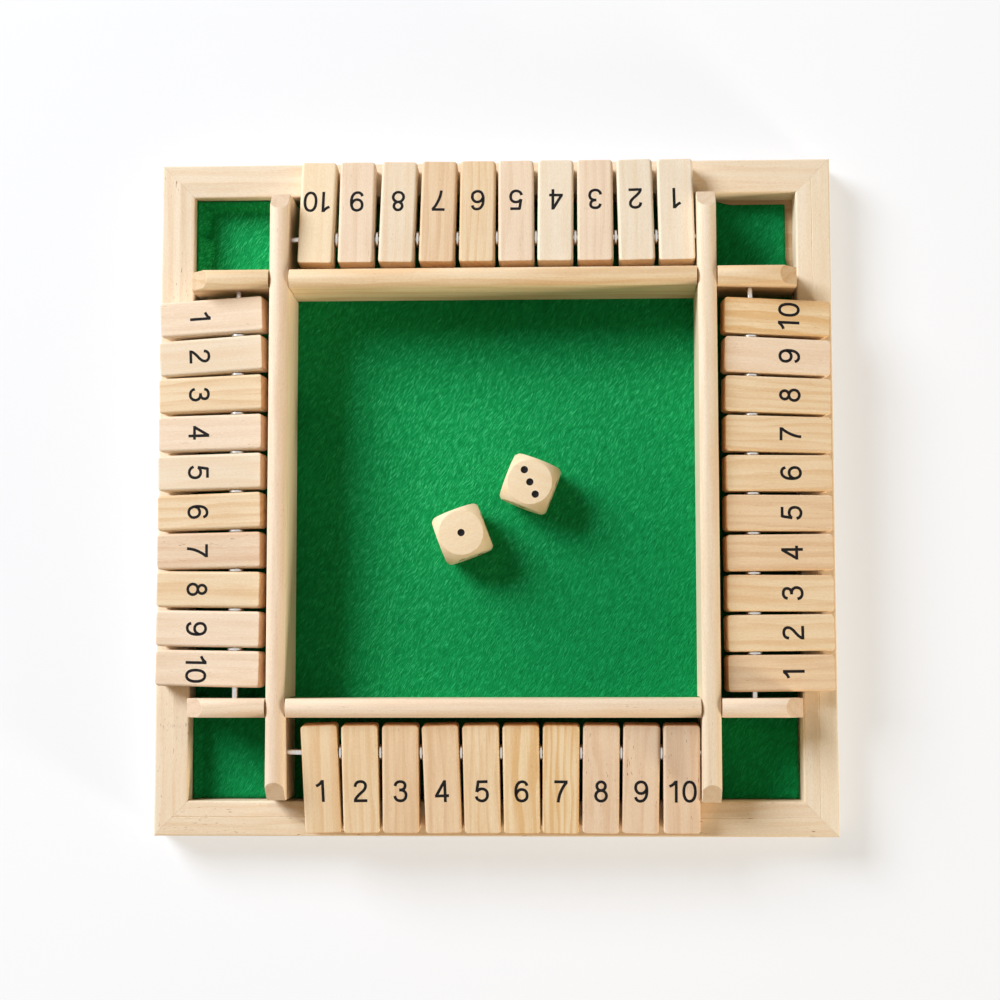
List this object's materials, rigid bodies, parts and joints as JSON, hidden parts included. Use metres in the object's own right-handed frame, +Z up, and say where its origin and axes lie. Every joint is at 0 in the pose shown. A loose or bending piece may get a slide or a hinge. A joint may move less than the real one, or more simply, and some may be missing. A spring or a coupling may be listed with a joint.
{
  "type": "shut the box game",
  "caption": "Square wooden dice tray with a green felt floor, crossing rails, rows of flip-over number tiles on steel rods along each side, and loose wooden dice.",
  "frame": {"origin": "middle of the flat underside", "axes": "+Z up through the tray, +X and +Y square to the sides; the side facing -Y is called south"},
  "size_m": [0.2208, 0.2208, 0.03],
  "materials": {
    "base_plywood": "bare sanded plywood, matt",
    "green_felt": "short fibred green felt, matt",
    "frame_wood": "bare sanded pine, matt",
    "rail_wood": "bare sanded pine, matt",
    "steel_rod": "bright drawn steel",
    "tile_wood": "bare sanded pine with plain black printed numbers",
    "dice_wood": "bare sanded pine with black pips"
  },
  "bodies": {
    "board": {"axle_east": "steel_rod", "axle_north": "steel_rod", "axle_south": "steel_rod", "axle_west": "steel_rod", "base_board": "base_plywood", "felt_sheet": "green_felt", "moulding_east": "frame_wood", "moulding_north": "frame_wood", "moulding_south": "frame_wood", "moulding_west": "frame_wood", "rail_east": "rail_wood", "rail_north": "rail_wood", "rail_south": "rail_wood", "rail_west": "rail_wood"},
    "flap_south_1": {"tile_south_1": "tile_wood"},
    "flap_south_2": {"tile_south_2": "tile_wood"},
    "flap_south_3": {"tile_south_3": "tile_wood"},
    "flap_south_4": {"tile_south_4": "tile_wood"},
    "flap_south_5": {"tile_south_5": "tile_wood"},
    "flap_south_6": {"tile_south_6": "tile_wood"},
    "flap_south_7": {"tile_south_7": "tile_wood"},
    "flap_south_8": {"tile_south_8": "tile_wood"},
    "flap_south_9": {"tile_south_9": "tile_wood"},
    "flap_south_10": {"tile_south_10": "tile_wood"},
    "flap_east_1": {"tile_east_1": "tile_wood"},
    "flap_east_2": {"tile_east_2": "tile_wood"},
    "flap_east_3": {"tile_east_3": "tile_wood"},
    "flap_east_4": {"tile_east_4": "tile_wood"},
    "flap_east_5": {"tile_east_5": "tile_wood"},
    "flap_east_6": {"tile_east_6": "tile_wood"},
    "flap_east_7": {"tile_east_7": "tile_wood"},
    "flap_east_8": {"tile_east_8": "tile_wood"},
    "flap_east_9": {"tile_east_9": "tile_wood"},
    "flap_east_10": {"tile_east_10": "tile_wood"},
    "flap_north_1": {"tile_north_1": "tile_wood"},
    "flap_north_2": {"tile_north_2": "tile_wood"},
    "flap_north_3": {"tile_north_3": "tile_wood"},
    "flap_north_4": {"tile_north_4": "tile_wood"},
    "flap_north_5": {"tile_north_5": "tile_wood"},
    "flap_north_6": {"tile_north_6": "tile_wood"},
    "flap_north_7": {"tile_north_7": "tile_wood"},
    "flap_north_8": {"tile_north_8": "tile_wood"},
    "flap_north_9": {"tile_north_9": "tile_wood"},
    "flap_north_10": {"tile_north_10": "tile_wood"},
    "flap_west_1": {"tile_west_1": "tile_wood"},
    "flap_west_2": {"tile_west_2": "tile_wood"},
    "flap_west_3": {"tile_west_3": "tile_wood"},
    "flap_west_4": {"tile_west_4": "tile_wood"},
    "flap_west_5": {"tile_west_5": "tile_wood"},
    "flap_west_6": {"tile_west_6": "tile_wood"},
    "flap_west_7": {"tile_west_7": "tile_wood"},
    "flap_west_8": {"tile_west_8": "tile_wood"},
    "flap_west_9": {"tile_west_9": "tile_wood"},
    "flap_west_10": {"tile_west_10": "tile_wood"},
    "die_one": {"die_one": "dice_wood"},
    "die_three": {"die_three": "dice_wood"}
  },
  "joints": [
    {"name": "flip_south_1", "type": "hinge", "parent": "board", "child": "flap_south_1", "pos_m": [-0.0552, -0.0831, 0.02088], "axis": [-1, 0, 0], "range_deg": [0, 135.4]},
    {"name": "flip_south_2", "type": "hinge", "parent": "board", "child": "flap_south_2", "pos_m": [-0.04238, -0.0831, 0.02088], "axis": [-1, 0, 0], "range_deg": [0, 135.4]},
    {"name": "flip_south_3", "type": "hinge", "parent": "board", "child": "flap_south_3", "pos_m": [-0.02943, -0.0831, 0.02088], "axis": [-1, 0, 0], "range_deg": [0, 135.4]},
    {"name": "flip_south_4", "type": "hinge", "parent": "board", "child": "flap_south_4", "pos_m": [-0.01655, -0.0831, 0.02088], "axis": [-1, 0, 0], "range_deg": [0, 135.4]},
    {"name": "flip_south_5", "type": "hinge", "parent": "board", "child": "flap_south_5", "pos_m": [-0.00379, -0.0831, 0.02088], "axis": [-1, 0, 0], "range_deg": [0, 135.4]},
    {"name": "flip_south_6", "type": "hinge", "parent": "board", "child": "flap_south_6", "pos_m": [0.00891, -0.0831, 0.02088], "axis": [-1, 0, 0], "range_deg": [0, 135.4]},
    {"name": "flip_south_7", "type": "hinge", "parent": "board", "child": "flap_south_7", "pos_m": [0.02161, -0.0831, 0.02088], "axis": [-1, 0, 0], "range_deg": [0, 135.4]},
    {"name": "flip_south_8", "type": "hinge", "parent": "board", "child": "flap_south_8", "pos_m": [0.03431, -0.0831, 0.02088], "axis": [-1, 0, 0], "range_deg": [0, 135.4]},
    {"name": "flip_south_9", "type": "hinge", "parent": "board", "child": "flap_south_9", "pos_m": [0.04701, -0.0831, 0.02088], "axis": [-1, 0, 0], "range_deg": [0, 135.4]},
    {"name": "flip_south_10", "type": "hinge", "parent": "board", "child": "flap_south_10", "pos_m": [0.05971, -0.0831, 0.02088], "axis": [-1, 0, 0], "range_deg": [0, 135.4]},
    {"name": "flip_east_1", "type": "hinge", "parent": "board", "child": "flap_east_1", "pos_m": [0.0831, -0.05819, 0.02088], "axis": [0, -1, 0], "range_deg": [0, 135.4]},
    {"name": "flip_east_2", "type": "hinge", "parent": "board", "child": "flap_east_2", "pos_m": [0.0831, -0.04549, 0.02088], "axis": [0, -1, 0], "range_deg": [0, 135.4]},
    {"name": "flip_east_3", "type": "hinge", "parent": "board", "child": "flap_east_3", "pos_m": [0.0831, -0.03279, 0.02088], "axis": [0, -1, 0], "range_deg": [0, 135.4]},
    {"name": "flip_east_4", "type": "hinge", "parent": "board", "child": "flap_east_4", "pos_m": [0.0831, -0.01997, 0.02088], "axis": [0, -1, 0], "range_deg": [0, 135.4]},
    {"name": "flip_east_5", "type": "hinge", "parent": "board", "child": "flap_east_5", "pos_m": [0.0831, -0.0072, 0.02088], "axis": [0, -1, 0], "range_deg": [0, 135.4]},
    {"name": "flip_east_6", "type": "hinge", "parent": "board", "child": "flap_east_6", "pos_m": [0.0831, 0.00556, 0.02088], "axis": [0, -1, 0], "range_deg": [0, 135.4]},
    {"name": "flip_east_7", "type": "hinge", "parent": "board", "child": "flap_east_7", "pos_m": [0.0831, 0.01832, 0.02088], "axis": [0, -1, 0], "range_deg": [0, 135.4]},
    {"name": "flip_east_8", "type": "hinge", "parent": "board", "child": "flap_east_8", "pos_m": [0.0831, 0.03102, 0.02088], "axis": [0, -1, 0], "range_deg": [0, 135.4]},
    {"name": "flip_east_9", "type": "hinge", "parent": "board", "child": "flap_east_9", "pos_m": [0.0831, 0.04372, 0.02088], "axis": [0, -1, 0], "range_deg": [0, 135.4]},
    {"name": "flip_east_10", "type": "hinge", "parent": "board", "child": "flap_east_10", "pos_m": [0.0831, 0.05642, 0.02088], "axis": [0, -1, 0], "range_deg": [0, 135.4]},
    {"name": "flip_north_1", "type": "hinge", "parent": "board", "child": "flap_north_1", "pos_m": [0.05959, 0.0831, 0.02088], "axis": [1, 0, 0], "range_deg": [0, 135.4]},
    {"name": "flip_north_2", "type": "hinge", "parent": "board", "child": "flap_north_2", "pos_m": [0.04659, 0.0831, 0.02088], "axis": [1, 0, 0], "range_deg": [0, 135.4]},
    {"name": "flip_north_3", "type": "hinge", "parent": "board", "child": "flap_north_3", "pos_m": [0.03334, 0.0831, 0.02088], "axis": [1, 0, 0], "range_deg": [0, 135.4]},
    {"name": "flip_north_4", "type": "hinge", "parent": "board", "child": "flap_north_4", "pos_m": [0.02039, 0.0831, 0.02088], "axis": [1, 0, 0], "range_deg": [0, 135.4]},
    {"name": "flip_north_5", "type": "hinge", "parent": "board", "child": "flap_north_5", "pos_m": [0.00769, 0.0831, 0.02088], "axis": [1, 0, 0], "range_deg": [0, 135.4]},
    {"name": "flip_north_6", "type": "hinge", "parent": "board", "child": "flap_north_6", "pos_m": [-0.00501, 0.0831, 0.02088], "axis": [1, 0, 0], "range_deg": [0, 135.4]},
    {"name": "flip_north_7", "type": "hinge", "parent": "board", "child": "flap_north_7", "pos_m": [-0.01795, 0.0831, 0.02088], "axis": [1, 0, 0], "range_deg": [0, 135.4]},
    {"name": "flip_north_8", "type": "hinge", "parent": "board", "child": "flap_north_8", "pos_m": [-0.03114, 0.0831, 0.02088], "axis": [1, 0, 0], "range_deg": [0, 135.4]},
    {"name": "flip_north_9", "type": "hinge", "parent": "board", "child": "flap_north_9", "pos_m": [-0.04445, 0.0831, 0.02088], "axis": [1, 0, 0], "range_deg": [0, 135.4]},
    {"name": "flip_north_10", "type": "hinge", "parent": "board", "child": "flap_north_10", "pos_m": [-0.05752, 0.0831, 0.02088], "axis": [1, 0, 0], "range_deg": [0, 135.4]},
    {"name": "flip_west_1", "type": "hinge", "parent": "board", "child": "flap_west_1", "pos_m": [-0.0831, 0.05794, 0.02088], "axis": [0, 1, 0], "range_deg": [0, 135.4]},
    {"name": "flip_west_2", "type": "hinge", "parent": "board", "child": "flap_west_2", "pos_m": [-0.0831, 0.04518, 0.02088], "axis": [0, 1, 0], "range_deg": [0, 135.4]},
    {"name": "flip_west_3", "type": "hinge", "parent": "board", "child": "flap_west_3", "pos_m": [-0.0831, 0.03242, 0.02088], "axis": [0, 1, 0], "range_deg": [0, 135.4]},
    {"name": "flip_west_4", "type": "hinge", "parent": "board", "child": "flap_west_4", "pos_m": [-0.0831, 0.01966, 0.02088], "axis": [0, 1, 0], "range_deg": [0, 135.4]},
    {"name": "flip_west_5", "type": "hinge", "parent": "board", "child": "flap_west_5", "pos_m": [-0.0831, 0.00696, 0.02088], "axis": [0, 1, 0], "range_deg": [0, 135.4]},
    {"name": "flip_west_6", "type": "hinge", "parent": "board", "child": "flap_west_6", "pos_m": [-0.0831, -0.0058, 0.02088], "axis": [0, 1, 0], "range_deg": [0, 135.4]},
    {"name": "flip_west_7", "type": "hinge", "parent": "board", "child": "flap_west_7", "pos_m": [-0.0831, -0.01856, 0.02088], "axis": [0, 1, 0], "range_deg": [0, 135.4]},
    {"name": "flip_west_8", "type": "hinge", "parent": "board", "child": "flap_west_8", "pos_m": [-0.0831, -0.03126, 0.02088], "axis": [0, 1, 0], "range_deg": [0, 135.4]},
    {"name": "flip_west_9", "type": "hinge", "parent": "board", "child": "flap_west_9", "pos_m": [-0.0831, -0.04396, 0.02088], "axis": [0, 1, 0], "range_deg": [0, 135.4]},
    {"name": "flip_west_10", "type": "hinge", "parent": "board", "child": "flap_west_10", "pos_m": [-0.0831, -0.05666, 0.02088], "axis": [0, 1, 0], "range_deg": [0, 135.4]},
    {"name": "lift_die_one", "type": "slide", "parent": "board", "child": "die_one", "axis": [0, 0, 1], "range_m": [0, 0.06]},
    {"name": "lift_die_three", "type": "slide", "parent": "board", "child": "die_three", "axis": [0, 0, 1], "range_m": [0, 0.06]}
  ]
}
